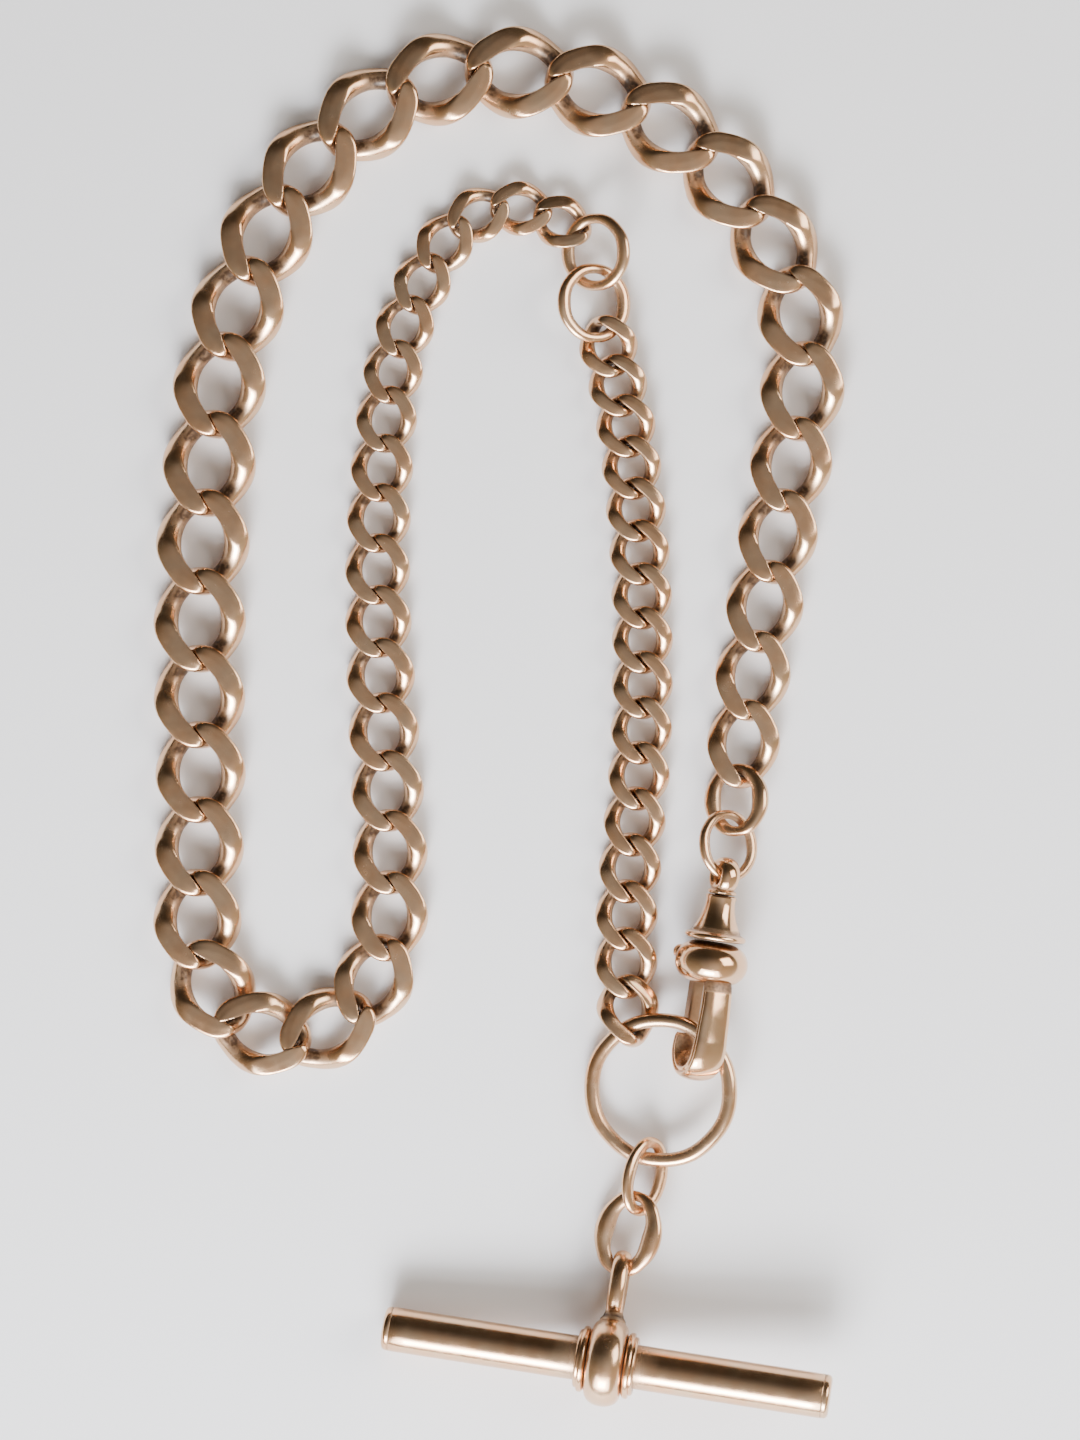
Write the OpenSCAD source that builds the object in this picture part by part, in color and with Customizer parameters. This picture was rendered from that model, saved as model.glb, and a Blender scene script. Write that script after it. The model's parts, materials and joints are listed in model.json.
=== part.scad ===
/* [Curb links] */
// Number of links in the long graduated chain
long_links = 46; // [46:1:46]
// Number of links in the short chain
short_links = 16; // [16:1:16]
// Play along the chain between two linked curb links
link_play = 0.2; // [0.15:0.01:0.25]
// Turn of each end of a curb link about the chain, in degrees
link_twist = 50; // [46:1:54]
// Distance from joint to joint along the long chain, as [link, mm]
long_pitch = [[1, 6.3], [6, 6.95], [11, 7.6], [15, 7.4], [20, 7.3], [25, 6.7], [28, 6.7], [31, 5.8],
              [35, 4.9], [40, 4.4], [46, 4.1]];
// Width of the long chain's links, as [link, mm]
long_width = [[1, 6.8], [6, 7.9], [11, 8.6], [20, 8.7], [25, 8.2], [28, 7.6], [31, 7.0], [35, 6.2],
              [40, 5.6], [46, 5.0]];
// Distance from joint to joint along the short chain, from the big ring up, as [link, mm]
short_pitch = [[1, 4.48], [8, 4.18], [16, 3.73]];
// Width of the short chain's links, as [link, mm]
short_width = [[1, 5.9], [16, 5.5]];
// Extra length of the links that lie slack in the tight turns, as [link, mm]
turn_slack = [[24, 0], [26, 0.35], [28, 0.3], [30, 0.2], [31, 0], [42, 0], [43, 0.1], [45, 0.1], [46, 0.05]];
// Extra height of the links that ride up in the tight lower turn, as [link, mm]
turn_raise = [[25, 0], [26, 0.05], [27, 0.15], [28, 0.1], [29, 0]];

/* [Big ring] */
// Outer diameter of the big ring
big_ring_d = 14.5; // [14:0.1:15]
// Wire diameter of the big ring
big_wire_d = 1.4; // [1.35:0.05:1.45]

/* [Swivel] */
// Outer diameter of the swivel's collar
collar_d = 6.8; // [6.6:0.1:7.0]
// Distance from the collar's middle to the tip of the hook
hook_reach = 11; // [10.8:0.1:11.2]
// Width of the hook across its flat sides
hook_w = 2.3; // [2.1:0.1:2.4]

/* [T-bar] */
// Length of the T-bar over its end caps
bar_length = 41.7; // [40:0.1:44]
// Outer diameter of the T-bar's tube
bar_d = 4.1; // [4.0:0.05:4.2]
// Wall of the T-bar's tube
bar_wall = 0.45; // [0.4:0.05:0.6]
// Outer diameter of the swivelling band at the T-bar's middle
band_d = 8.2; // [8.0:0.1:8.4]
// Width of the band
band_w = 3.4; // [3.2:0.1:3.6]

/* [Hidden] */
LONG_PAIRS_LOW = [for (i = [1:2:7]) i];
LONG_SINGLES = [for (i = [9:28]) i];
LONG_PAIRS_HIGH = [for (i = [29:2:45]) i];
SHORT_PAIRS = [for (i = [1:2:15]) i];
function two(i) = str(i < 10 ? "0" : "", i);
function pair_name(chain, i) = str(chain, "_links_", two(i), "_", two(i + 1));
function single_name(i) = str("long_link_", two(i));

gold = [0.72, 0.50, 0.34];
bright_gold = [0.80, 0.58, 0.38];
dark_gold = [0.45, 0.31, 0.20];
fine = 48;

// Sweep: rings round a link, and sides round its wire
rings = 20;
sides = 8;

// How the chain lies: the route of each strand, from joint to joint, as round points
long_route = [
    [22.6, -5.6], [23.5, 2], [25.5, 13.5], [28, 27], [28.8, 34.5], [27.5, 41], [23.5, 47.5], [19, 52.7],
    [12.5, 56.8], [5, 59.5], [-2.5, 60], [-9.5, 57.8], [-15.5, 53], [-20, 47.5], [-23, 40.8],
    [-25.2, 33.5], [-27, 19], [-27.5, 5], [-27.3, -9], [-27.8, -18], [-27.7, -22], [-25.4, -27.7],
    [-19.7, -30.5], [-13.2, -28], [-10.1, -22], [-9.8, -12], [-10.8, 6], [-10.9, 18], [-9.6, 32],
    [-7.2, 39.5], [-4, 45.2], [-0.5, 47.3], [3.5, 47.2], [7.5, 45]];
short_route = [
    [12.4, -29.5], [12, -20.6], [12.6, -12.3], [13.4, -4], [13.6, 6.2], [13.4, 14.5], [12.4, 24.8],
    [11.5, 30], [9.9, 36.4]];

// A smooth line through a route's points
steps = 12;
function bend(a, b, c, d, t) =
    0.5 * (2 * b + (c - a) * t + (2 * a - 5 * b + 4 * c - d) * t * t
           + (3 * b - a - 3 * c + d) * t * t * t);
function smooth(route) = let (last = len(route) - 1) concat(
    [for (i = [0:last - 1], k = [0:steps - 1])
        bend(route[max(i - 1, 0)], route[i], route[i + 1], route[min(i + 2, last)], k / steps)],
    [route[last]]);

// Joints along a line, each one link's pitch from the last
function reach(line, j, from, p) =
    j >= len(line) - 2 || norm(line[j + 1] - from) >= p ? j : reach(line, j + 1, from, p);
function ahead(a, b, from, p) =
    let (d = b - a, f = a - from, dd = d * d, df = d * f)
    a + d * ((sqrt(df * df - dd * (f * f - p * p)) - df) / dd);
function walk(line, pitches, i = 0, j = 0, at = undef) =
    let (here = i == 0 ? line[0] : at)
    i == len(pitches) ? [here]
    : let (k = reach(line, j, here, pitches[i]), next = ahead(line[k], line[k + 1], here, pitches[i]))
      concat([here], walk(line, pitches, i + 1, k, next));

long_pitches = [for (i = [1:long_links]) lookup(i, long_pitch)];
short_pitches = [for (i = [1:short_links]) lookup(i, short_pitch)];
long_joints = walk(smooth(long_route), long_pitches);
short_joints = walk(smooth(short_route), short_pitches);

// A twisted oval link. Sizes: [length, width, end thickness, limb thickness, end depth, limb depth, half height]
function centre_at(s, twist, t) =
    let (a = (s[1] - s[3]) / 2, b = (s[0] - s[2]) / 2, turn = twist * sin(t))
    [a * cos(t) * cos(turn), b * sin(t), a * cos(t) * sin(turn)];
function unit(v) = v / norm(v);
function wire_ring(s, twist, t) =
    let (c = centre_at(s, twist, t),
         along = unit(centre_at(s, twist, t + 1) - centre_at(s, twist, t - 1)),
         turn = twist * sin(t),
         up = [-sin(turn), 0, cos(turn)],
         lift = unit(up - (up * along) * along),
         out = cross(along, lift),
         limb = cos(t) * cos(t),
         thick = (s[2] + (s[3] - s[2]) * limb) / 2,
         deep = (s[4] + (s[5] - s[4]) * limb) / 2)
    [for (k = [0:sides - 1]) let (q = 360 * k / sides, p = c + out * thick * cos(q) + lift * deep * sin(q))
        [p[0], p[1], max(-s[6], min(s[6], p[2]))]];

module oval_link(s, twist) {
    function at(r, k) = (r % rings) * sides + k % sides;
    points = [for (r = [0:rings - 1]) each wire_ring(s, twist, 360 * r / rings)];
    faces = [for (r = [0:rings - 1], k = [0:sides - 1]) each [
        [at(r, k), at(r, k + 1), at(r + 1, k + 1)],
        [at(r, k), at(r + 1, k + 1), at(r + 1, k)]]];
    polyhedron(points, faces);
}

function long_size(i) =
    let (inner = lookup(i, long_pitch) + link_play + lookup(i, turn_slack), w = lookup(i, long_width))
    [inner + 0.28 * w, w, 0.14 * w, 0.27 * w, 0.15 * w, 0.26 * w, 0.165 * w];
function short_size(i) = let (inner = lookup(i, short_pitch) + link_play, w = lookup(i, short_width))
    [inner + 0.36 * w, w, 0.18 * w, 0.27 * w, 0.17 * w, 0.26 * w, 0.19 * w];

// One curb link between two joints, lying on its flat side. A lean of [raise, pitch, roll] lifts and tips
// the links that ride up on a ring
module placed_link(from, to, s, lean) {
    run = to - from;
    translate([(from[0] + to[0]) / 2, (from[1] + to[1]) / 2, s[6] + lean[0]])
        rotate([0, 0, atan2(run[1], run[0]) - 90])
            rotate([lean[1], lean[2], 0])
                oval_link(s, link_twist);
}
level = [0, 0, 0];
function long_lean(i) = i == long_links ? [0.28, 4, -8] : [lookup(i, turn_raise), 0, 0];
function short_lean(i) = i == 1 ? [0.47, -12, 16] : i == short_links ? [0.3, 3.5, -5] : level;
module long_link(i) placed_link(long_joints[i - 1], long_joints[i], long_size(i), long_lean(i));
module short_link(i) placed_link(short_joints[i - 1], short_joints[i], short_size(i), short_lean(i));

// A round wire ring lying in XY about the origin
module wire_loop(radius, wire_r) rotate_extrude($fn = fine) translate([radius, 0]) circle(wire_r, $fn = 24);

// Big ring
ring_at = [15.25, -34.55, 2.25];
ring_r = (big_ring_d - big_wire_d) / 2;
module big_ring() color(gold) translate(ring_at) rotate([2.5, -12, 0]) wire_loop(ring_r, big_wire_d / 2);

// Jump rings between the two chains
jump_wire_r = 0.55;
module jump_ring_upper() color(gold)
    translate([9.25, 43, 2.2]) rotate([4, -30, 0]) wire_loop(3.1, jump_wire_r);
module jump_ring_lower() color(gold)
    translate([9.1, 38.3, 1.95]) rotate([0, 0, 16]) rotate([6, 24, 0]) wire_loop(3.2, jump_wire_r);

// Oval link at the end of the long chain: wider, flatter wire
module end_oval_link() color(gold)
    translate([22.3, -7.7, 1.6]) rotate([0, 0, 4]) rotate([-12, -18, 0])
        oval_link([7, 6.3, 1.1, 1.6, 1.1, 1.4, 0.75], 0);

// Swivel. Local frame: Z along the swivel's axis towards the eye, X towards the hook's back, Y along the gate's pin
swivel_at = [19.9, -22.7, 3.45];
swivel_heading = 8.8;
swivel_roll = 25;
module swivel_frame() translate(swivel_at) rotate([0, 0, -swivel_heading]) rotate([-90, 0, 0])
    rotate([0, 0, -90 + swivel_roll]) children();

barrel_top = 6.3;
barrel_base = 2.1;
post_r = 0.7;
rivet_r = 1.05;
run_gap = 0.06;
neck_r = 1;
module swivel_barrel() color(gold) swivel_frame() difference() {
    rotate_extrude($fn = fine) polygon([
        [0, barrel_base], [2.45, barrel_base], [2.85, 2.5], [2.85, 2.85], [2.4, 3.1], [1.95, 3.9],
        [1.6, 5.1], [1.4, barrel_top - 0.15], [1.25, barrel_top], [0, barrel_top]]);
    translate([0, 0, 3.2]) cylinder(r = rivet_r + 0.1, h = 2.2, $fn = fine);
    translate([0, 0, 5]) cylinder(r = post_r + run_gap, h = 2, $fn = fine);
}

// The eye: its post turns in the barrel, held by a rivet head inside
eye_r = 1.2;
eye_wire_r = 0.55;
eye_z = 8.1;
rivet_z = 4.4;
rivet_t = 0.5;
module swivel_eye() color(gold) swivel_frame() {
    translate([0, 0, eye_z]) rotate([90, 0, 0]) wire_loop(eye_r, eye_wire_r);
    translate([0, 0, rivet_z + rivet_t]) cylinder(r = post_r, h = eye_z - eye_r - rivet_z - rivet_t, $fn = fine);
    translate([0, 0, rivet_z]) cylinder(r = rivet_r, h = rivet_t, $fn = fine);
}
swivel_ring_r = 2.9;
module swivel_ring() color(gold)
    translate([21.5, -11.9, 2.7]) rotate([0, 0, -2]) rotate([-8.5, 37, 0]) wire_loop(swivel_ring_r, 0.5);

// Collar: a heavy rounded bead, slotted for the gate and drilled for its pin
bead_r = 1.9;
pin_at = [-1.7, 0, 0.6];
pin_r = 0.45;
pin_half = 2.85;
head_r = 0.7;
head_t = 0.5;
slot_w = 2;
module collar_bead() rotate_extrude($fn = fine) intersection() {
    translate([collar_d / 2 - bead_r, 0]) circle(bead_r, $fn = fine);
    translate([neck_r + 0.04, -bead_r]) square([collar_d, 2 * bead_r]);
}
module swivel_collar() color(bright_gold) swivel_frame() difference() {
    collar_bead();
    translate([-collar_d, -slot_w / 2, -2.5]) cube([collar_d - 0.6, slot_w, 4.1]);
    translate(pin_at) rotate([90, 0, 0]) cylinder(r = pin_r + 0.02, h = 8, center = true, $fn = fine);
    for (end = [-1, 1]) translate(pin_at + [0, end * (pin_half - head_t - 0.02), 0])
        rotate([-end * 90, 0, 0]) cylinder(r = head_r + 0.04, h = 2, $fn = fine);
}

// Hook: a flat-sided loop open on the gate's side, on a plug that fills the collar
arm_out = 3.05;
arm_in = 1.55;
nose_z = -6.8;
bend_z = -hook_reach + arm_out;
module hook_outline() difference() {
    union() {
        translate([0, bend_z]) circle(arm_out, $fn = fine);
        translate([-arm_out, bend_z]) square([2 * arm_out, -2 - bend_z]);
    }
    translate([0, bend_z]) circle(arm_in, $fn = fine);
    translate([-arm_in, bend_z]) square([2 * arm_in, -3.2 - bend_z]);
    translate([-arm_out - 1, nose_z]) square([arm_out + 0.8, -nose_z]);
}
module swivel_hook() color(bright_gold) swivel_frame() difference() {
    union() {
        rotate([90, 0, 0]) linear_extrude(hook_w, center = true) hook_outline();
        translate([0, 0, -2.01]) cylinder(r = neck_r, h = 3.8, $fn = fine);
    }
    translate([-neck_r - 0.6, -neck_r - 0.5, -2.1]) cube([neck_r, 2 * neck_r + 1, 3.7]);
}

// Gate: turns inwards on its pin, from the collar to the hook's nose
gate_w = 1.1;
gate_tip = nose_z + 0.12;
module hook_gate() color(dark_gold) swivel_frame() rotate([90, 0, 0]) difference() {
    linear_extrude(gate_w, center = true) union() {
        polygon([[-2.3, 0.6], [-2.9, -2.2], [-2.9, gate_tip], [-1.75, gate_tip], [-1.6, -2.2], [-1.1, 0.6]]);
        translate([pin_at[0], pin_at[2]]) circle(0.85, $fn = fine);
    }
    translate([pin_at[0], pin_at[2], 0]) cylinder(r = pin_r + run_gap, h = 4, center = true, $fn = fine);
}
module gate_pin() color(bright_gold) swivel_frame() translate(pin_at) rotate([90, 0, 0]) {
    cylinder(r = pin_r, h = 2 * pin_half - head_t, center = true, $fn = fine);
    for (end = [-1, 1]) translate([0, 0, end * (pin_half - head_t / 2)])
        cylinder(r = head_r, h = head_t, center = true, $fn = fine);
}
coil_r = 0.62;
module gate_spring() color(dark_gold) swivel_frame() translate(pin_at) rotate([90, 0, 0])
    for (side = [-1, 1]) translate([0, 0, side * 0.78]) wire_loop(coil_r, 0.12);

// Links between the big ring and the T-bar
module drop_link_small() color(gold)
    translate([13.8, -42.55, 2.08]) rotate([0, 0, -21.5]) rotate([-11.5, 41, 0])
        oval_link([7.6, 5.5, 1.05, 1.1, 1.05, 1.1, 3], 0);
module drop_link_large() color(gold)
    translate([12.25, -47.8, 2.3]) rotate([0, 0, -18]) rotate([3.5, -22, 0])
        oval_link([8.2, 6.7, 1, 1.6, 1, 1.4, 0.7], 0);

// T-bar. It lies on its band and on the tip of its left end. Local frame: X along the bar, Y towards the eye
bar_at = [10.2, -59.5, 4.15];
bar_heading = -8.2;
bar_tilt = 5.6;
eye_drop = 14;
bar_r = bar_d / 2;
waist_r = bar_r - 0.2;
cap_r = bar_r - 0.04;
side_play = 0.07;
shank_r = 0.76;
shank_foot = bar_r + run_gap + 0.35;
module bar_frame() translate(bar_at) rotate([0, 0, bar_heading]) rotate([0, -bar_tilt, 0]) children();
module band_bead(outer_d, w, bore_r) rotate([0, 90, 0]) rotate_extrude($fn = fine) intersection() {
    translate([(outer_d - w) / 2, 0]) circle(w / 2, $fn = fine);
    translate([bore_r, -w]) square([outer_d, 2 * w]);
}
module t_bar_band() color(gold) bar_frame() difference() {
    band_bead(band_d, band_w, waist_r + run_gap);
    rotate([-eye_drop, 0, 0]) rotate([-90, 0, 0]) cylinder(r = shank_r + 0.02, h = band_d, $fn = fine);
}
loop_r = 1.5;
loop_wire_r = 0.6;
loop_y = 8.4;
module t_bar_eye() color(gold) bar_frame() rotate([-eye_drop, 0, 0]) {
    translate([0, loop_y, 0]) rotate([0, 90, 0]) wire_loop(loop_r, loop_wire_r);
    translate([0, shank_foot, 0]) rotate([-90, 0, 0])
        cylinder(r = shank_r, h = loop_y - loop_r - shank_foot, $fn = fine);
}
collar_w = 1;
stop_d = 6.2;
module t_bar_collars() color(gold) bar_frame()
    for (side = [-1, 1]) translate([side * ((band_w + collar_w) / 2 + side_play), 0, 0])
        band_bead(stop_d, collar_w, waist_r + 0.01);
cap_t = 0.7;
waist = band_w + 2 * (collar_w + side_play);
plug = 1.2;
module t_bar_tube() color(gold) bar_frame() rotate([0, 90, 0]) difference() {
    union() {
        cylinder(r = waist_r, h = bar_length - 2 * cap_t, center = true, $fn = fine);
        for (end = [-1, 1]) translate([0, 0, end * (bar_length / 2 - cap_t + waist / 2) / 2])
            cylinder(r = bar_r, h = bar_length / 2 - cap_t - waist / 2, center = true, $fn = fine);
    }
    cylinder(r = bar_r - bar_wall, h = bar_length, center = true, $fn = fine);
}
module t_bar_caps() color(gold) bar_frame() for (side = [-1, 1])
    translate([side * (bar_length / 2 - cap_t), 0, 0]) rotate([0, side * 90, 0]) {
        rotate_extrude($fn = fine) polygon([[0, 0.01], [cap_r, 0.01], [cap_r, cap_t - 0.35],
            [cap_r - 0.1, cap_t - 0.1], [cap_r - 0.35, cap_t], [0, cap_t]]);
        translate([0, 0, -plug]) cylinder(r = bar_r - bar_wall - 0.02, h = plug + 0.1, $fn = fine);
    }

big_ring();
for (i = SHORT_PAIRS) color(gold) { short_link(i); short_link(i + 1); }
jump_ring_lower();
jump_ring_upper();
for (i = concat(LONG_PAIRS_LOW, LONG_PAIRS_HIGH)) color(gold) { long_link(i); long_link(i + 1); }
for (i = LONG_SINGLES) color(gold) long_link(i);
end_oval_link();
swivel_ring();
swivel_eye();
swivel_barrel();
swivel_collar();
swivel_hook();
hook_gate();
gate_pin();
gate_spring();
drop_link_small();
drop_link_large();
t_bar_eye();
t_bar_band();
t_bar_collars();
t_bar_tube();
t_bar_caps();
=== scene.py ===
"""A gentleman's curb-link watch chain in worn rose gold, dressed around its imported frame."""

import json
import math

import bmesh
import bpy
import numpy as np
from mathutils import Matrix, Vector


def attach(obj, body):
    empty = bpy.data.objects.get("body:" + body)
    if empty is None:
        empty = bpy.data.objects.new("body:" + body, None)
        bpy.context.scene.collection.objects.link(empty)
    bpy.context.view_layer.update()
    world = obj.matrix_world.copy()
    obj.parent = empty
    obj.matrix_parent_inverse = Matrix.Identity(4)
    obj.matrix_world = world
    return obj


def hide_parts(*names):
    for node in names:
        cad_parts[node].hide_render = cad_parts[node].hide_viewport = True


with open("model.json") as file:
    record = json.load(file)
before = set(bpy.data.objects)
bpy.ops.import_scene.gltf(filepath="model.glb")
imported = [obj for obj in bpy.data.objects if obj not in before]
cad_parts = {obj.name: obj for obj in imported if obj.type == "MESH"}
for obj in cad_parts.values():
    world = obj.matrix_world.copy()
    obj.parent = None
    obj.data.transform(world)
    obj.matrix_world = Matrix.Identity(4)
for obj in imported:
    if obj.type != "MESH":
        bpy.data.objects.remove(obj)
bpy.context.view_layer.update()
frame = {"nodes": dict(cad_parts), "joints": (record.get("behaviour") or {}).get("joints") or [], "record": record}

bl_info = {
    "name": "Watch Chain Maker",
    "version": (1, 0, 0),
    "blender": (4, 5, 0),
    "location": "3D View > Sidebar > Watch Chain",
    "description": "Makes a curb-link watch chain with its swivel, rings and T-bar",
    "category": "Object",
}

MM = 0.001
BODY_OF = {node: body for body, nodes in frame["record"]["behaviour"]["bodies"].items() for node in nodes}
JOINTS = {joint["name"]: joint for joint in frame["joints"]}


# ---------------------------------------------------------------- settings
class LinkSettings(bpy.types.PropertyGroup):
    twist: bpy.props.FloatProperty(
        name="Twist", description="Turn of each end of a curb link about the chain",
        default=math.radians(50), subtype="ANGLE")
    long_limb: bpy.props.FloatProperty(
        name="Long link limb", description="Limb thickness of a long-chain link, as a share of its width",
        default=0.272)
    long_end: bpy.props.FloatProperty(
        name="Long link end", description="End thickness of a long-chain link, as a share of its width",
        default=0.16)
    short_limb: bpy.props.FloatProperty(
        name="Short link limb", description="Limb thickness of a short-chain link, as a share of its width",
        default=0.275)
    short_end: bpy.props.FloatProperty(
        name="Short link end", description="End thickness of a short-chain link, as a share of its width",
        default=0.19)
    end_depth: bpy.props.FloatProperty(
        name="End depth", description="How much deeper than round a link's wire is at its ends", default=1.5)
    shoulder: bpy.props.FloatProperty(
        name="Shoulder", default=0.92,
        description="Wire thickness between a link's limbs and ends, as a share of the limb's")
    roof: bpy.props.FloatProperty(
        name="Facet fall", default=0.03,
        description="How far a facet falls from the middle of a link to its outside, in link widths")
    edge: bpy.props.FloatProperty(
        name="Facet edge", default=0.018,
        description="Width of the worn inner edge of a facet, as a share of the link's width")


class RingSettings(bpy.types.PropertyGroup):
    seam: bpy.props.FloatProperty(
        name="Seam depth", description="Depth of the closing seam in a ring's wire",
        default=0.05 * MM, unit="LENGTH")
    wear: bpy.props.FloatProperty(
        name="Wear", description="Wire thickness left where a ring hangs on its neighbours, as a share",
        default=0.95)


class SwivelSettings(bpy.types.PropertyGroup):
    hook_width: bpy.props.FloatProperty(
        name="Hook width", description="Width of the hook across its flat sides",
        default=2.9 * MM, unit="LENGTH")
    hook_depth: bpy.props.FloatProperty(
        name="Hook depth", description="Thickness of the hook's arms", default=1.5 * MM, unit="LENGTH")


class TBarSettings(bpy.types.PropertyGroup):
    strap_width: bpy.props.FloatProperty(
        name="Eye width", description="Width of the strap that forms the T-bar's eye", default=1.6 * MM,
        unit="LENGTH")
    cap_round: bpy.props.FloatProperty(
        name="Cap rounding", description="Radius of the rounded edge of an end cap", default=0.45 * MM,
        unit="LENGTH")


class FinishSettings(bpy.types.PropertyGroup):
    gold: bpy.props.FloatVectorProperty(
        name="Rose gold", description="Colour of the polished gold", default=(0.72, 0.475, 0.295),
        subtype="COLOR", size=3)
    # This colour is painted both as tarnish and as painted shade: the same dark brown goes into hollows, under
    # crossing limbs and between parts.
    patina_and_shade: bpy.props.FloatVectorProperty(
        name="Patina", description="Colour of the dirt and tarnish in the recesses",
        default=(0.055, 0.026, 0.010), subtype="COLOR", size=3)


class StageSettings(bpy.types.PropertyGroup):
    floor: bpy.props.FloatVectorProperty(
        name="Floor", description="Colour of the surface under the chain", default=(0.93, 0.925, 0.95),
        subtype="COLOR", size=3)
    ambient: bpy.props.FloatVectorProperty(
        name="Ambient", description="Colour of the light from all round", default=(1.0, 0.89, 0.70),
        subtype="COLOR", size=3)
    ambient_strength: bpy.props.FloatProperty(
        name="Ambient strength", description="Strength of the light from all round", default=0.42)
    key_power: bpy.props.FloatProperty(
        name="Key power", description="Power of the window-like main light", default=7.6, unit="POWER")


# ---------------------------------------------------------------- modelling helpers
def ramp(value, start, end):
    """0 before start, 1 after end, and a straight line between."""
    return max(0.0, min(1.0, (value - start) / (end - start)))


def only(obj):
    """Leaves obj alone selected and active."""
    if bpy.context.mode != "OBJECT":
        bpy.ops.object.mode_set(mode="OBJECT")
    bpy.ops.object.select_all(action="DESELECT")
    obj.select_set(True)
    bpy.context.view_layer.objects.active = obj


def added(name):
    """The object that an add operator has just made, renamed."""
    obj = bpy.context.object
    obj.name = name
    obj.data.name = name
    return obj


def apply_modifier(obj, kind, **values):
    """Adds a modifier with these values and applies it."""
    only(obj)
    modifier = obj.modifiers.new(kind.title(), kind)
    for key, value in values.items():
        setattr(modifier, key, value)
    bpy.ops.object.modifier_apply(modifier=modifier.name)


def clean(obj):
    """Merges doubles and turns all faces outwards."""
    only(obj)
    bpy.ops.object.mode_set(mode="EDIT")
    bpy.ops.mesh.select_all(action="SELECT")
    bpy.ops.mesh.remove_doubles(threshold=1e-7)
    bpy.ops.mesh.normals_make_consistent(inside=False)
    bpy.ops.object.mode_set(mode="OBJECT")


def smooth(obj, degrees=35):
    """Shades a piece smooth, apart from edges sharper than this angle."""
    only(obj)
    bpy.ops.object.shade_smooth_by_angle(angle=math.radians(degrees))


def settle(obj, matrix):
    """Moves a finished mesh to its place and leaves its object at the origin."""
    obj.data.transform(matrix)
    obj.matrix_world = Matrix.Identity(4)
    obj.data.update()


def copied(master, name, matrix):
    """A copy of a master piece with its own mesh, put in place."""
    obj = master.copy()
    obj.data = master.data.copy()
    obj.name = obj.data.name = name
    bpy.context.scene.collection.objects.link(obj)
    settle(obj, matrix)
    return obj


def dress(obj, node, slot, material, *more_nodes):
    """Gives a piece its finish, its body and the CAD nodes it stands for."""
    obj.data.materials.clear()
    obj.data.materials.append(material)
    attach(obj, BODY_OF[node])
    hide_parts(node, *more_nodes)


def freed_points(spline):
    """A spline's bezier points, with handles that stay where they are put."""
    for point in spline.bezier_points:
        point.handle_left_type = point.handle_right_type = "FREE"
    return spline.bezier_points


def loop_of_wire(name, half_x, half_y, mid_r, end_r, shoulder_r=None, rings=12, sides=7):
    """An oval loop of round wire in XY, mid_r thick at its sides, end_r at its ends, shoulder_r between."""
    bpy.ops.object.select_all(action="DESELECT")
    bpy.ops.curve.primitive_bezier_circle_add(radius=1)
    obj = added(name)
    bpy.ops.object.mode_set(mode="EDIT")
    bpy.ops.curve.select_all(action="SELECT")
    bpy.ops.curve.subdivide(number_cuts=1)
    bpy.ops.object.mode_set(mode="OBJECT")
    curve = obj.data
    curve.bevel_depth = 1
    curve.bevel_resolution = sides
    curve.resolution_u = rings
    curve.twist_mode = "Z_UP"
    curve.splines[0].radius_interpolation = "EASE"
    for point in freed_points(curve.splines[0]):
        place = abs(point.co.y)
        for spot in (point.co, point.handle_left, point.handle_right):
            spot.x *= half_x
            spot.y *= half_y
        point.radius = mid_r if place < 0.3 else end_r if place > 0.9 else shoulder_r or (mid_r + end_r) / 2
    only(obj)
    bpy.ops.object.convert(target="MESH")
    clean(obj)
    return obj


def turned(name, profile, sides=64):
    """A turned solid about Z. The profile is a list of (radius, height), from its first face to its last."""
    bpy.ops.object.select_all(action="DESELECT")
    radius, height = profile[0]
    bpy.ops.mesh.primitive_circle_add(
        vertices=sides, radius=radius, fill_type="NGON", location=(0, 0, height))
    obj = added(name)
    bpy.ops.object.transform_apply(location=True, rotation=False, scale=False)
    bpy.ops.object.mode_set(mode="EDIT")
    bpy.ops.mesh.select_all(action="SELECT")
    for next_radius, next_height in profile[1:]:
        rise = (0, 0, next_height - height)
        bpy.ops.mesh.extrude_region_move(TRANSFORM_OT_translate={"value": rise})
        share = next_radius / radius
        bpy.ops.transform.resize(value=(share, share, 1), center_override=(0, 0, next_height))
        radius, height = next_radius, next_height
    bpy.ops.object.mode_set(mode="OBJECT")
    clean(obj)
    return obj


def turned_ring(name, profile, sides=64):
    """A turned ring about Z. The profile is a closed loop of (radius, height)."""
    bpy.ops.object.select_all(action="DESELECT")
    bpy.ops.mesh.primitive_circle_add(vertices=len(profile), radius=1, fill_type="NOTHING")
    obj = added(name)
    for vertex, (radius, height) in zip(obj.data.vertices, profile):
        vertex.co = (radius, 0, height)
    only(obj)
    bpy.ops.object.mode_set(mode="EDIT")
    bpy.ops.mesh.select_all(action="SELECT")
    bpy.ops.mesh.spin(steps=sides, angle=math.tau, center=(0, 0, 0), axis=(0, 0, 1), use_normal_flip=False)
    bpy.ops.object.mode_set(mode="OBJECT")
    clean(obj)
    return obj


def arc(centre_r, centre_h, radius, start, end, count):
    """Points along a round stretch of a profile, angles in degrees from the outward direction."""
    angles = [math.radians(start + (end - start) * k / (count - 1)) for k in range(count)]
    return [(centre_r + radius * math.cos(a), centre_h + radius * math.sin(a)) for a in angles]


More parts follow.
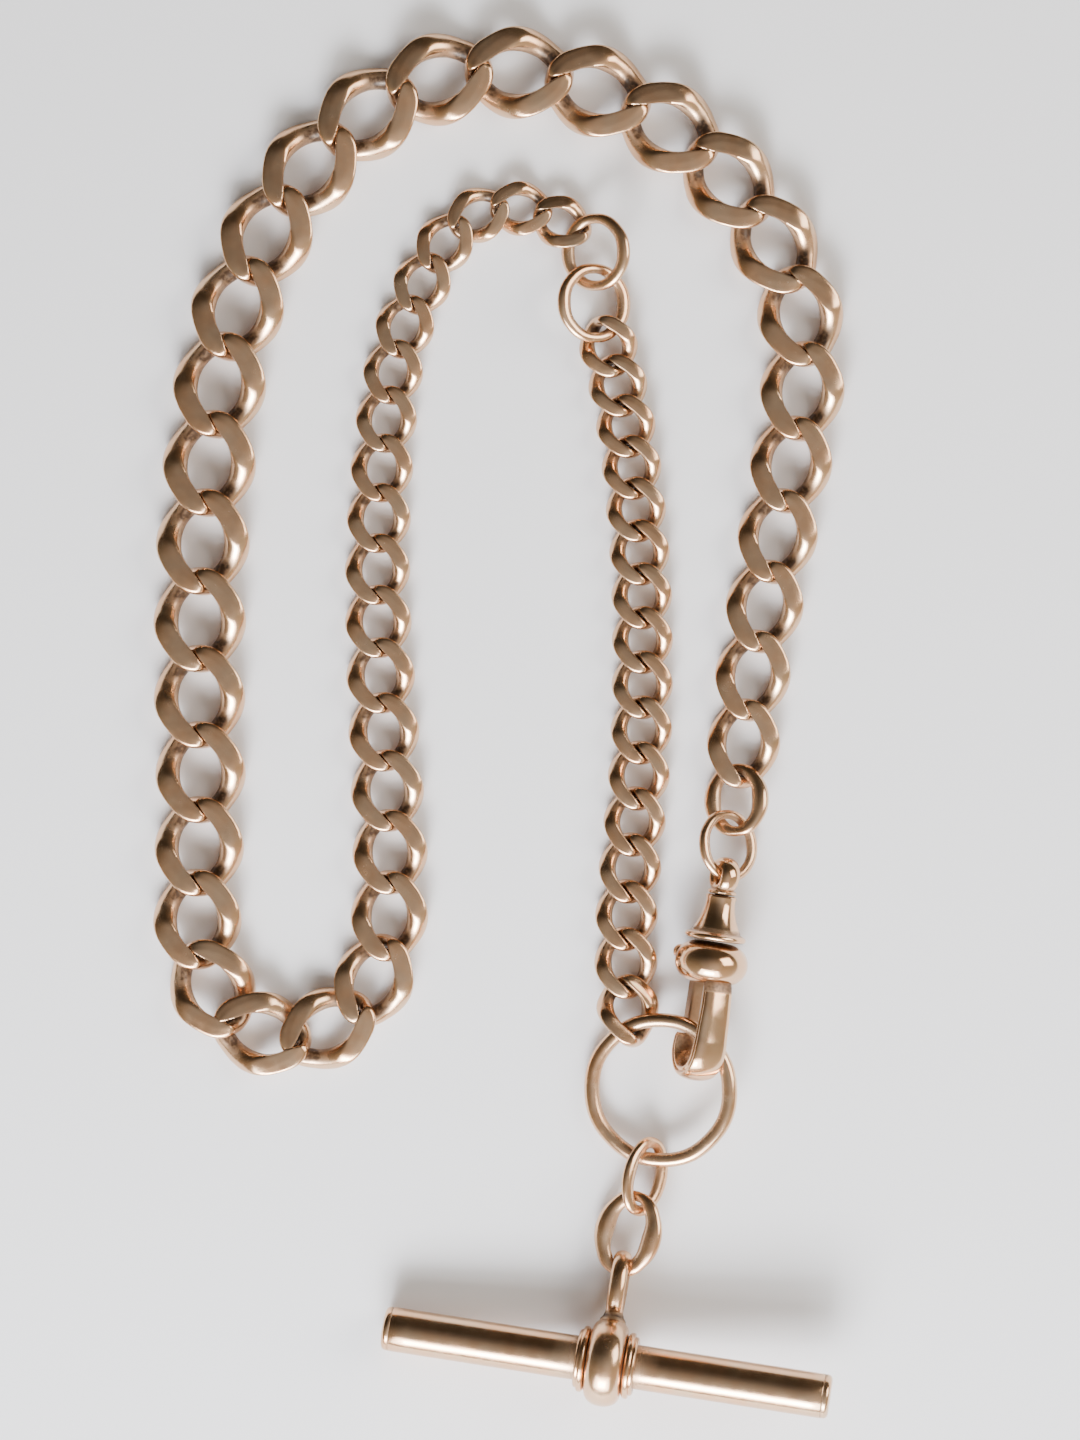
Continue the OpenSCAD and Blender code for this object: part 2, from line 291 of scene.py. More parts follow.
# ---------------------------------------------------------------- reading the frame
def loose_parts(node):
    """The separate solids of a CAD node, each as an array of its corners."""
    mesh = bmesh.new()
    mesh.from_mesh(frame["nodes"][node].data)
    bmesh.ops.remove_doubles(mesh, verts=mesh.verts, dist=1e-7)
    left = set(mesh.verts)
    parts = []
    while left:
        front = [left.pop()]
        found = []
        while front:
            vertex = front.pop()
            found.append(tuple(vertex.co))
            for edge in vertex.link_edges:
                other = edge.other_vert(vertex)
                if other in left:
                    left.discard(other)
                    front.append(other)
        parts.append(np.array(found))
    mesh.free()
    return parts


def lie_of(points, is_round=False):
    """How a link or ring lies: a matrix with X across, Y along and Z through it, and its three sizes.
    A round ring has no long way, so its Y is the way that points most nearly up the chain."""
    middle = points.mean(0)
    spread, axes = np.linalg.eigh(np.cov((points - middle).T))
    through, across, along = axes[:, 0], axes[:, 1], axes[:, 2]
    if through[2] < 0:
        through = -through
    if is_round:
        along = np.cross(np.cross(through, (0, 1, 0)), through)
        along /= np.linalg.norm(along)
    if along[1] < 0:
        along = -along
    across = np.cross(along, through)
    turn = np.array([across, along, through])
    local = (points - middle) @ turn.T
    low, high = local.min(0), local.max(0)
    centre = middle + ((low + high) / 2) @ turn
    matrix = Matrix.Translation(Vector(centre)) @ Matrix(turn.T.tolist()).to_4x4()
    return matrix, high - low


def frame_matrix(origin, x_axis, y_axis, z_axis):
    """A matrix that puts a piece's own axes along these, at this origin."""
    turn = Matrix((x_axis, y_axis, z_axis)).transposed()
    return Matrix.Translation(origin) @ turn.to_4x4()


def along_axis(node, origin, axis):
    """Lowest and highest place of a CAD node along an axis."""
    places = [(vertex.co - origin).dot(axis) for vertex in frame["nodes"][node].data.vertices]
    return min(places), max(places)


# ---------------------------------------------------------------- finishes
def worn_gold(name, shine=0.24, tone=1.0, patina_and_shade_share=1.05, scratch=0.5):
    """Worn rose gold: satin wear, fine scratches, and tarnish with painted shade where the per-corner attribute
    says.
    """
    finish = bpy.context.scene.chain_finish
    material = bpy.data.materials.new(name)
    material.use_nodes = True
    nodes, links = material.node_tree.nodes, material.node_tree.links
    shader = nodes["Principled BSDF"]
    place = nodes.new("ShaderNodeTexCoord")

    def noise(size_mm, detail, stretch=None):
        texture = nodes.new("ShaderNodeTexNoise")
        texture.inputs["Scale"].default_value = 1 / (size_mm * MM)
        texture.inputs["Detail"].default_value = detail
        if stretch is None:
            links.new(place.outputs["Object"], texture.inputs["Vector"])
        else:
            mapping = nodes.new("ShaderNodeMapping")
            mapping.inputs["Scale"].default_value = stretch
            links.new(place.outputs["Object"], mapping.inputs["Vector"])
            links.new(mapping.outputs["Vector"], texture.inputs["Vector"])
        return texture.outputs["Fac"]

    def ranged(value, low, high, to_low, to_high):
        node = nodes.new("ShaderNodeMapRange")
        for key, number in (("From Min", low), ("From Max", high), ("To Min", to_low), ("To Max", to_high)):
            node.inputs[key].default_value = number
        links.new(value, node.inputs["Value"])
        return node.outputs["Result"]

    def math_node(kind, a, b):
        node = nodes.new("ShaderNodeMath")
        node.operation = kind
        node.use_clamp = kind != "SUBTRACT"
        for socket, value in zip(node.inputs, (a, b)):
            if isinstance(value, (int, float)):
                socket.default_value = value
            else:
                links.new(value, socket)
        return node.outputs[0]

    def mix(factor, a, b):
        node = nodes.new("ShaderNodeMix")
        node.data_type = "RGBA"
        links.new(factor, node.inputs[0])
        for socket, value in ((node.inputs[6], a), (node.inputs[7], b)):
            if isinstance(value, tuple):
                socket.default_value = value
            else:
                links.new(value, socket)
        return node.outputs[2]

    gold = tuple(min(1, c * tone) for c in finish.gold)
    warm = (gold[0] * 1.04, gold[1] * 0.90, gold[2] * 0.80)
    patches = ranged(noise(2.5, 3), 0.35, 0.7, 0, 1)
    body_colour = mix(patches, (*gold, 1), (*warm, 1))

    # Tarnish and painted shade: a stored value per corner pulls the gold towards the dark brown in hollows, under
    # crossing limbs and between parts.
    grime_and_shade = nodes.new("ShaderNodeAttribute")
    grime_and_shade.attribute_name = "grime_and_shade"
    specks = ranged(noise(0.35, 4), 0.3, 0.75, 0.75, 1.15)
    dirt_and_shade = math_node("MULTIPLY", math_node("MULTIPLY", grime_and_shade.outputs["Fac"], specks), patina_and_shade_share)
    colour = mix(dirt_and_shade, body_colour, (*finish.patina_and_shade, 1))
    links.new(colour, shader.inputs["Base Color"])
    # Where this painted shade and tarnish are strong, the gold turns to a dull dark brown that reflects little, so
    # those places stay dark whatever they face.
    links.new(math_node("SUBTRACT", 1.0, math_node("MULTIPLY", dirt_and_shade, 0.9)), shader.inputs["Metallic"])

    satin = ranged(noise(0.9, 5), 0.3, 0.7, shine * 0.8, shine * 1.25)
    roughness = math_node("ADD", satin, math_node("MULTIPLY", dirt_and_shade, 0.22))
    links.new(roughness, shader.inputs["Roughness"])

    scratches = noise(0.5, 3, (1.0, 9.0, 3.0))
    pits = noise(0.18, 2)
    height = math_node("ADD", math_node("MULTIPLY", scratches, scratch), math_node("MULTIPLY", pits, 0.3))
    bump = nodes.new("ShaderNodeBump")
    bump.inputs["Strength"].default_value = 0.22
    bump.inputs["Distance"].default_value = 0.02 * MM
    links.new(height, bump.inputs["Height"])
    links.new(bump.outputs["Normal"], shader.inputs["Normal"])
    return material


FINISHES = {
    "facet gold": dict(shine=0.22, tone=1.0, scratch=0.35),
    "short link gold": dict(shine=0.22, tone=0.97, scratch=0.35),
    "ring gold": dict(shine=0.22, tone=1.05),
    "bright gold": dict(shine=0.16, tone=1.1, scratch=0.3),
    "bar gold": dict(shine=0.2, tone=1.0, scratch=0.7),
    "tarnished gold": dict(shine=0.34, tone=0.6),
}


def finish_named(name):
    """The material of this name, made when it is first asked for."""
    return bpy.data.materials.get(name) or worn_gold(name, **FINISHES[name])


def add_grime_and_shade(obj, amount):
    """Stores how dark each corner of a piece is painted, from 0 to 1, for tarnish and painted shade. amount takes
    a place and a normal.
    """
    values = [max(0.0, min(1.0, amount(vertex.co, vertex.normal))) for vertex in obj.data.vertices]
    attribute = obj.data.attributes.new("grime_and_shade", "FLOAT", "POINT")
    attribute.data.foreach_set("value", values)


# ---------------------------------------------------------------- curb links
def filed(height, limit, softness):
    """A height after filing: never above the limit, and rounded into it over the softness."""
    start = limit - softness
    if height <= start:
        return height
    return limit - softness * math.exp((start - height) / softness)


def curb_master(name, limb, end, length, half_height, soft_inside, soft_outside):
    """A curb link one unit wide: an oval of wire, deepened at its ends, twisted, then filed flat on both
    faces. The filing is rounded off a little towards the hole, and more towards the outside."""
    settings = bpy.context.scene.chain_links
    obj = loop_of_wire(name, (1 - limb) / 2, (length - end) / 2, limb / 2, end / 2,
                       settings.shoulder * limb / 2, rings=14, sides=10)
    for vertex in obj.data.vertices:
        vertex.co.z *= 1 + (settings.end_depth - 1) * (2 * vertex.co.y / length) ** 2
    total = 2 * settings.twist * length / (length - end)
    apply_modifier(obj, "SIMPLE_DEFORM", deform_method="TWIST", deform_axis="Y", angle=-total)
    places = [(vertex.co.copy(), vertex.normal.copy()) for vertex in obj.data.vertices]

    def outwards(place, normal):
        """1 where a face looks away from the link's middle, -1 where it looks into the hole."""
        return Vector((place.x, place.y / length ** 2, 0)).normalized().dot(normal)

    for vertex, (place, normal) in zip(obj.data.vertices, places):
        outward = outwards(place, normal)
        softness = soft_inside + (soft_outside - soft_inside) * ramp(outward, -0.2, 0.5)
        limit = half_height - settings.roof * abs(place.x) * 2
        vertex.co.z = math.copysign(filed(abs(place.z), limit, softness), place.z)
    clean(obj)
    smooth(obj, 50)

    def recess(place, normal):
        """Tarnish and painted shade: dark where a limb dives under its neighbour, and on the walls of the hole."""
        facing = max(-1.0, min(1.0, 2.5 * normal.z))
        sunk = 0.5 - 0.5 * facing * place.z / half_height
        outward = outwards(place, normal)
        at_end = abs(place.y) / (length / 2)
        under = ramp(sunk, 0.3, 0.48) * ramp(-outward, -0.6, -0.15) * ramp(at_end, 0.18, 0.42)
        wall = 0.75 * ramp(-outward, 0.35, 0.8) * ramp(sunk, 0.2, 0.45)
        return max(under, wall)

    add_grime_and_shade(obj, recess)
    return obj


def place_links(master, nodes, slot, finish):
    """Puts a copy of the master link, stretched to size, where each curb link of these nodes lies."""
    material = finish_named(finish)
    sizes = Vector(master.dimensions)
    for node in nodes:
        parts = sorted(loose_parts(node), key=lambda points: tuple(points.mean(0)))
        for letter, points in zip("ab", parts):
            lie, extent = lie_of(points)
            scale = Matrix.Diagonal((extent[0] / sizes.x, extent[1] / sizes.y, extent[2] / sizes.z, 1))
            tag = f"_{letter}" if len(parts) > 1 else ""
            link = copied(master, f"worn_{node}{tag}", lie @ scale)
            dress(link, node, slot, material)
    bpy.data.objects.remove(master)


def nodes_named(start):
    """The CAD nodes whose names start so, in order."""
    return sorted(node for node in frame["nodes"] if node.startswith(start))


class CHAIN_OT_long_links(bpy.types.Operator):
    """Makes the long graduated chain of flat-filed curb links"""
    bl_idname = "chain.long_links"
    bl_label = "Long curb links"

    def execute(self, context):
        settings = context.scene.chain_links
        master = curb_master("long_master", settings.long_limb, settings.long_end, length=1.175,
                             half_height=0.165, soft_inside=settings.edge, soft_outside=4 * settings.edge)
        place_links(master, nodes_named("long_link"), "long_chain_gold", "facet gold")
        return {"FINISHED"}


class CHAIN_OT_short_links(bpy.types.Operator):
    """Makes the short chain of thick, rounded curb links"""
    bl_idname = "chain.short_links"
    bl_label = "Short curb links"

    def execute(self, context):
        settings = context.scene.chain_links
        master = curb_master("short_master", settings.short_limb, settings.short_end, length=1.14,
                             half_height=0.19, soft_inside=2 * settings.edge,
                             soft_outside=4.5 * settings.edge)
        place_links(master, nodes_named("short_links"), "short_chain_gold", "short link gold")
        return {"FINISHED"}


# ---------------------------------------------------------------- rings and ovals
def inner_grime_and_shade(strength):
    """Tarnish and painted shade on the inside of a ring about its own Z."""
    def amount(place, normal):
        reach = Vector((place.x, place.y, 0))
        inward = -normal.dot(reach.normalized()) if reach.length else 0
        return max(0, inward) * strength
    return amount


def score_seam(obj, angle, depth):
    """Presses the closing seam into a ring's wire at an angle about its centre."""
    half_width = 0.035
    only(obj)
    for vertex in obj.data.vertices:
        turn = math.atan2(vertex.co.y, vertex.co.x) - angle
        gap = abs(math.atan2(math.sin(turn), math.cos(turn)))
        vertex.select = gap < half_width
    bpy.ops.object.mode_set(mode="EDIT")
    bpy.ops.mesh.select_mode(type="VERT")
    bpy.ops.transform.shrink_fatten(value=-depth)
    bpy.ops.object.mode_set(mode="OBJECT")


def wire_piece(node, limb, seam_at, end=None, grime_and_shade=0.45, is_round=True):
    """A closed ring or oval of wire that lies where its CAD node does, limb thick at its sides and end at its
    ends, with its seam at an angle in degrees."""
    lie, extent = lie_of(loose_parts(node)[0], is_round)
    depth = extent[2]
    end = end or depth
    settings = bpy.context.scene.chain_rings
    obj = loop_of_wire(f"worn_{node}", (extent[0] - limb) / 2, (extent[1] - end) / 2, limb / 2,
                       end * settings.wear / 2, rings=16, sides=8)
    squash = depth / obj.dimensions.z
    obj.data.transform(Matrix.Diagonal((1, 1, squash, 1)))
    score_seam(obj, math.radians(seam_at), settings.seam)
    smooth(obj, 60)
    # Painted shade with tarnish on the inside of the ring.
    add_grime_and_shade(obj, inner_grime_and_shade(grime_and_shade))
    settle(obj, lie)
    dress(obj, node, "ring_gold", finish_named("ring gold"))


class CHAIN_OT_rings(bpy.types.Operator):
    """Makes the big ring, the jump rings and the oval links of plain wire"""
    bl_idname = "chain.rings"
    bl_label = "Rings and ovals"

    def execute(self, context):
        wire_piece("big_ring", 1.55 * MM, seam_at=258, end=1.5 * MM, grime_and_shade=0.3)
        wire_piece("jump_ring_lower", 1.4 * MM, seam_at=20)
        wire_piece("jump_ring_upper", 1.4 * MM, seam_at=70)
        wire_piece("swivel_ring", 1.2 * MM, seam_at=300)
        wire_piece("drop_link_small", 1.45 * MM, seam_at=160, end=1.2 * MM, is_round=False)
        wire_piece("drop_link_large", 2.0 * MM, seam_at=180, end=1.1 * MM, is_round=False)
        wire_piece("end_oval_link", 1.7 * MM, seam_at=10, end=1.1 * MM, is_round=False)
        return {"FINISHED"}


def finished(obj, lie, node, slot, finish, grime_and_shade):
    """Smooths a piece that was made in its own frame, paints its tarnish and shade, places and dresses it."""
    smooth(obj)
    add_grime_and_shade(obj, grime_and_shade)
    settle(obj, lie)
    dress(obj, node, slot, finish_named(finish))


# ---------------------------------------------------------------- swivel
def swivel_frame():
    """The swivel's own frame: Z along its axis to the eye, Y along the gate's pin, origin in the collar."""
    axis = Vector(JOINTS["eye_turns"]["axis"]).normalized()
    pin = Vector(JOINTS["gate_opens"]["axis"]).normalized()
    start = Vector(JOINTS["eye_turns"]["pos_m"])
    low, high = along_axis("swivel_collar", start, axis)
    return frame_matrix(start + axis * (low + high) / 2, pin.cross(axis), pin, axis)


def even_grime(value):
    """An even darkening, the same all over."""
    return lambda place, normal: value


class CHAIN_OT_swivel(bpy.types.Operator):
    """Makes the swivel: eye, barrel, collar, hook, gate and pin"""
    bl_idname = "chain.swivel"
    bl_label = "Swivel"

    def execute(self, context):
        lie = swivel_frame()
        self.barrel(lie)
        self.eye(lie)
        self.collar(lie)
        self.hook(lie)
        self.gate(lie)
        return {"FINISHED"}

    def barrel(self, lie):
        profile = [(1.9, 2.1), (2.5, 2.12), *arc(2.55, 2.42, 0.3, -80, 80, 8), (2.3, 2.86), (2.24, 3.0)]
        profile += [(1.36 + 0.9 * (1 - t) ** 2.1, 3.0 + 3.0 * t)
                    for t in (0.1, 0.22, 0.36, 0.5, 0.65, 0.8, 0.92)]
        profile += [(1.42, 6.02), (1.44, 6.12), (1.38, 6.24), (1.25, 6.3), (0.9, 6.3)]
        barrel = turned("worn_swivel_barrel", [(r * MM, h * MM) for r, h in profile])

        # Tarnish and painted shade: fully dark at the barrel's foot by the collar, and a dark line in the groove
        # above its flange.
        def groove(place, normal):
            height = place.z / MM
            return 1.0 if height < 2.2 else 0.75 * max(0, 1 - abs(height - 2.95) / 0.25)

        finished(barrel, lie, "swivel_barrel", "polished_gold", "bright gold", groove)

    def eye(self, lie):
        bpy.ops.object.select_all(action="DESELECT")
        bpy.ops.mesh.primitive_torus_add(major_radius=1.19 * MM, minor_radius=0.56 * MM, major_segments=56,
                                         minor_segments=28)
        bead = added("worn_swivel_eye")
        bpy.ops.object.mode_set(mode="EDIT")
        bpy.ops.mesh.select_all(action="SELECT")
        bpy.ops.transform.resize(value=(1, 1, 1.65))
        bpy.ops.object.mode_set(mode="OBJECT")
        bead.data.transform(Matrix.Translation((0, 0, 8.1 * MM)) @ Matrix.Rotation(math.radians(90), 4, "X"))
        foot = turned("foot", [(r * MM, h * MM) for r, h in
                               [(0.66, 5.4), (0.66, 6.36), (1.1, 6.4), (1.32, 6.48), (1.36, 6.6), (1.3, 6.72),
                                (1.05, 6.86), (0.75, 6.98)]])
        only(bead)
        foot.select_set(True)
        bpy.ops.object.join()

        # Tarnish and painted shade: dark on the post below the barrel's rim, round the eye's hole, and in a ring
        # at the top of the foot.
        def neck(place, normal):
            height = place.z / MM
            inside = max(0, 1 - math.hypot(place.x / MM, height - 8.1) / 0.95)
            return 1.0 if height < 6.42 else max(inside, 0.6 * max(0, 1 - abs(height - 6.88) / 0.2))

        finished(bead, lie, "swivel_eye", "ring_gold", "bright gold", neck)

    def collar(self, lie):
        bead = [*arc(1.5, 0, 1.9, -88, 88, 25), (1.06, 1.7), (1.06, -1.7)]
        collar = turned_ring("worn_swivel_collar", [(r * MM, h * MM) for r, h in bead], 80)
        bpy.ops.object.select_all(action="DESELECT")
        bpy.ops.mesh.primitive_cube_add(size=1)
        slot = added("slot")
        slot.data.transform(Matrix.Translation((-3.4 * MM, 0, -0.45 * MM))
                            @ Matrix.Diagonal((5.6 * MM, 1.5 * MM, 4.1 * MM, 1)))
        apply_modifier(collar, "BOOLEAN", operation="DIFFERENCE", solver="EXACT", object=slot)
        bpy.data.objects.remove(slot)

        # Tarnish and painted shade: the collar darkens towards its bore, on its faces and in the bore itself.
        def under(place, normal):
            radius, height = math.hypot(place.x, place.y) / MM, place.z / MM
            lip = max(0, 1 - (radius - 1.0) / 1.1)
            return lip if abs(height) > 0.8 else max(0, 1.6 - radius)

        finished(collar, lie, "swivel_collar", "polished_gold", "bright gold", under)
        pin = turned("worn_gate_pin", [(r * MM, h * MM) for r, h in
                                       [*arc(0, -2.45, 0.68, -85, 0, 9), (0.68, -2.3), (0.45, -2.28),
                                        (0.45, 2.28), (0.68, 2.3), *arc(0, 2.45, 0.68, 0, 85, 9)]], 40)
        turn = lie.to_3x3().to_4x4() @ Matrix.Rotation(math.radians(-90), 4, "X")
        pin_lie = Matrix.Translation(JOINTS["gate_opens"]["pos_m"]) @ turn
        finished(pin, pin_lie, "gate_pin", "polished_gold", "bright gold", even_grime(0.1))

    def hook(self, lie):
        settings = bpy.context.scene.chain_swivel
        bpy.ops.object.select_all(action="DESELECT")
        bpy.ops.curve.primitive_bezier_circle_add(radius=1)
        section = added("hook_section")
        for point in freed_points(section.data.splines[0]):
            for spot, stretch in ((point.co, 1), (point.handle_left, 1.35), (point.handle_right, 1.35)):
                flat = abs(point.co.x) > 0.5
                spot.x *= settings.hook_width / 2 * (1 if flat else stretch)
                spot.y *= settings.hook_depth / 2 * (stretch if flat else 1)
        bpy.ops.object.select_all(action="DESELECT")
        bpy.ops.curve.primitive_bezier_curve_add()
        hook = added("worn_swivel_hook")
        spine = hook.data.splines[0]
        route = [((1.5, -1.2), (0.75, -0.8), 0.82), ((2.26, -3.4), (0.1, -1.2), 0.86),
                 ((2.3, -6.2), (0, -1.2), 0.94), ((2.25, -8.1), (-0.1, -1.1), 1.0),
                 ((0, -10.24), (-1.25, 0), 1.0), ((-2.28, -7.95), (0, 1.15), 0.86),
                 ((-2.3, -6.86), (0, 0.3), 0.72)]
        spine.bezier_points.add(len(route) - len(spine.bezier_points))
        for point, (place, lean, size) in zip(freed_points(spine), route):
            point.co = (place[0] * MM, 0, place[1] * MM)
            step = Vector((lean[0] * MM, 0, lean[1] * MM))
            point.handle_left, point.handle_right = point.co - step, point.co + step
            point.radius = size
        hook.data.dimensions = "3D"
        hook.data.twist_mode = "MINIMUM"
        hook.data.bevel_mode = "OBJECT"
        hook.data.bevel_object = section
        hook.data.use_fill_caps = True
        hook.data.resolution_u = 12
        only(hook)
        bpy.ops.object.convert(target="MESH")
        bpy.data.objects.remove(section)
        clean(hook)
        apply_modifier(hook, "BEVEL", width=0.16 * MM, segments=2, limit_method="ANGLE",
                       angle_limit=math.radians(50))

        # Tarnish and painted shade: dark on the arms' faces that look inwards, on the inner side of the bend, and
        # near the collar.
        def sides(place, normal):
            radius, height = abs(place.x) / MM, place.z / MM
            in_arms = height > -8.5
            inside = max(0, -normal.x * math.copysign(1, place.x)) if in_arms else max(0, normal.z)
            return 0.7 * inside + (0.8 if height > -2.6 and radius < 3 else 0)

        finished(hook, lie, "swivel_hook", "polished_gold", "bright gold", sides)

    def gate(self, lie):
        bpy.ops.object.select_all(action="DESELECT")
        bpy.ops.mesh.primitive_cube_add(size=1)
        gate = added("worn_hook_gate")
        gate.data.transform(Matrix.Translation((-2.27 * MM, 0, -3.1 * MM))
                            @ Matrix.Diagonal((1.1 * MM, 1.1 * MM, 7.2 * MM, 1)))
        only(gate)
        bpy.ops.object.mode_set(mode="EDIT")
        bpy.ops.mesh.select_all(action="SELECT")
        bpy.ops.mesh.subdivide(number_cuts=6)
        bpy.ops.object.mode_set(mode="OBJECT")
        for vertex in gate.data.vertices:
            height = vertex.co.z / MM
            if height > -1:
                vertex.co.x += (height + 1) * 0.32 * MM
        apply_modifier(gate, "BEVEL", width=0.22 * MM, segments=3, limit_method="ANGLE",
                       angle_limit=math.radians(60))
        finished(gate, lie, "hook_gate", "dark_gold", "tarnished gold", even_grime(0.3))


# ---------------------------------------------------------------- T-bar
BAR_MIDDLE = Vector(JOINTS["t_bar_rolls"]["pos_m"])
BAR_AXIS = Vector(JOINTS["t_bar_rolls"]["axis"])


def bar_reach(node):
    """How far a CAD node reaches along the bar from its middle."""
    return along_axis(node, BAR_MIDDLE, BAR_AXIS)[1]


def bar_frame():
    """The T-bar's frame: Z along the bar, Y towards the eye's loop."""
    axis = BAR_AXIS.normalized()
    loop = sum((vertex.co for vertex in frame["nodes"]["t_bar_eye"].data.vertices), Vector())
    loop = loop / len(frame["nodes"]["t_bar_eye"].data.vertices) - BAR_MIDDLE
    up = (loop - axis * loop.dot(axis)).normalized()
    return frame_matrix(BAR_MIDDLE, up.cross(axis), up, axis)


class CHAIN_OT_t_bar(bpy.types.Operator):
    """Makes the T-bar: tube, end caps, collars, the swivelling band and its eye"""
    bl_idname = "chain.t_bar"
    bl_label = "T-bar"

    def execute(self, context):
        lie = bar_frame()
        half = bar_reach("t_bar_tube")
        self.tube(lie, half)
        self.caps(lie, half)
        self.collars(lie)
        self.band(lie)
        self.eye(lie)
        return {"FINISHED"}

    def tube(self, lie, half):
        radius = 2.05 * MM
        tube = turned("worn_t_bar_tube", [(radius * 0.99, -half), (radius, -half + 0.04 * MM),
                                          *[(radius, half * k / 12) for k in range(-11, 12)],
                                          (radius, half - 0.04 * MM), (radius * 0.99, half)], 80)

        # Tarnish and painted shade: the tube is dark along its middle, where the collars and band sit on it,
        # fading out between 2.8 and 3.5 mm from the middle.
        def near_collars(place, normal):
            return 1 - ramp(abs(place.z) / MM, 2.8, 3.5)

        finished(tube, lie, "t_bar_tube", "t_bar_gold", "bar gold", near_collars)

    def caps(self, lie, half):
        rounding = bpy.context.scene.chain_t_bar.cap_round
        radius = 2.03 * MM
        thick = 0.7 * MM
        profile = [(radius * 0.985, 0.01 * MM), (radius, 0.06 * MM),
                   *arc(radius - rounding, thick - rounding, rounding, 0, 84, 9),
                   (radius * 0.5, thick * 0.995), (radius * 0.12, thick)]
        cap = turned("worn_t_bar_caps", profile, 80)
        aside = Matrix.Translation((0, 0, half))
        other = copied(cap, "other_cap", Matrix.Rotation(math.pi, 4, "X") @ aside)
        cap.data.transform(aside)
        only(cap)
        other.select_set(True)
        bpy.ops.object.join()
        clean(cap)

        def seam(place, normal):
            return max(0, 1 - (abs(place.z) - half) / (0.09 * MM))

        finished(cap, lie, "t_bar_caps", "t_bar_gold", "bar gold", seam)

    def collars(self, lie):
        inner, half = 2.01, 0.5
        bead = [(inner, -half), *arc(2.48, -0.26, 0.24, -90, 20, 7), *arc(2.68, 0.12, 0.38, -38, 90, 11),
                (inner, half)]
        ring = turned_ring("worn_t_bar_collars", [(r * MM, h * MM) for r, h in bead], 80)
        aside = Matrix.Translation((0, 0, half * MM - bar_reach("t_bar_collars")))
        other = copied(ring, "other_collar", Matrix.Rotation(math.pi, 4, "X") @ aside)
        ring.data.transform(aside)
        only(ring)
        other.select_set(True)
        bpy.ops.object.join()
        clean(ring)

        # Tarnish and painted shade: the collars darken towards the tube they sit on.
        def groove(place, normal):
            radius = math.hypot(place.x, place.y) / MM
            return max(0, 1 - (radius - 2.0) / 0.65) * 0.9

        finished(ring, lie, "t_bar_collars", "t_bar_gold", "bar gold", groove)

    def band(self, lie):
        wide = bar_reach("t_bar_band") / MM
        inner, top = 2.06, 4.08
        belly = [(inner + 0.25 + (top - inner - 0.25) * math.cos(a) ** 0.62, wide * math.sin(a))
                 for a in (math.radians(-86 + 172 * k / 24) for k in range(25))]
        profile = [(inner, -wide), *belly, (inner, wide)]
        band = turned_ring("worn_t_bar_band", [(r * MM, h * MM) for r, h in profile], 80)

        # Tarnish and painted shade: the band darkens towards its bore, against the tube.
        def edges(place, normal):
            radius = math.hypot(place.x, place.y) / MM
            return max(0, 1 - (radius - 2.2) / 0.9) * 0.8

        finished(band, lie, "t_bar_band", "t_bar_gold", "ring gold", edges)

    def eye(self, lie):
        settings = bpy.context.scene.chain_t_bar
        up = lie.to_3x3() @ Vector((0, 1, 0))
        top = along_axis("t_bar_eye", BAR_MIDDLE, up)[1] / MM
        low = 4.3
        wire_r = 0.55
        half_long = (top - low) / 2 - wire_r
        loop = loop_of_wire("worn_t_bar_eye", 1.5 * MM, half_long * MM, wire_r * MM, wire_r * MM)
        only(loop)
        bpy.ops.object.mode_set(mode="EDIT")
        bpy.ops.mesh.select_all(action="SELECT")
        bpy.ops.transform.resize(value=(1, 1, settings.strap_width / (2 * wire_r * MM)))
        bpy.ops.object.mode_set(mode="OBJECT")
        loop.data.transform(Matrix.Translation((0, (top + low) / 2 * MM, 0)))
        profile = [(1.25, 3.7), (1.2, 3.95), (0.98, 4.25), (0.86, 4.6), (0.8, 4.95), (0.6, 5.25)]
        shank = turned("shank", [(r * MM, h * MM) for r, h in profile], 40)
        shank.data.transform(Matrix.Rotation(math.radians(-90), 4, "X"))
        only(loop)
        shank.select_set(True)
        bpy.ops.object.join()

        # Tarnish and painted shade: dark on the loop's inner faces and in a ring at the shank's foot by the band.
        def inside(place, normal):
            height = place.y / MM
            centre = (top + low) / 2
            inward = -(normal.x * place.x + normal.y * (place.y - centre * MM)) / MM
            return max(0, inward) * 0.6 + max(0, 1 - abs(height - 4.35) / 0.5) * 0.7

        finished(loop, lie, "t_bar_eye", "t_bar_gold", "ring gold", inside)


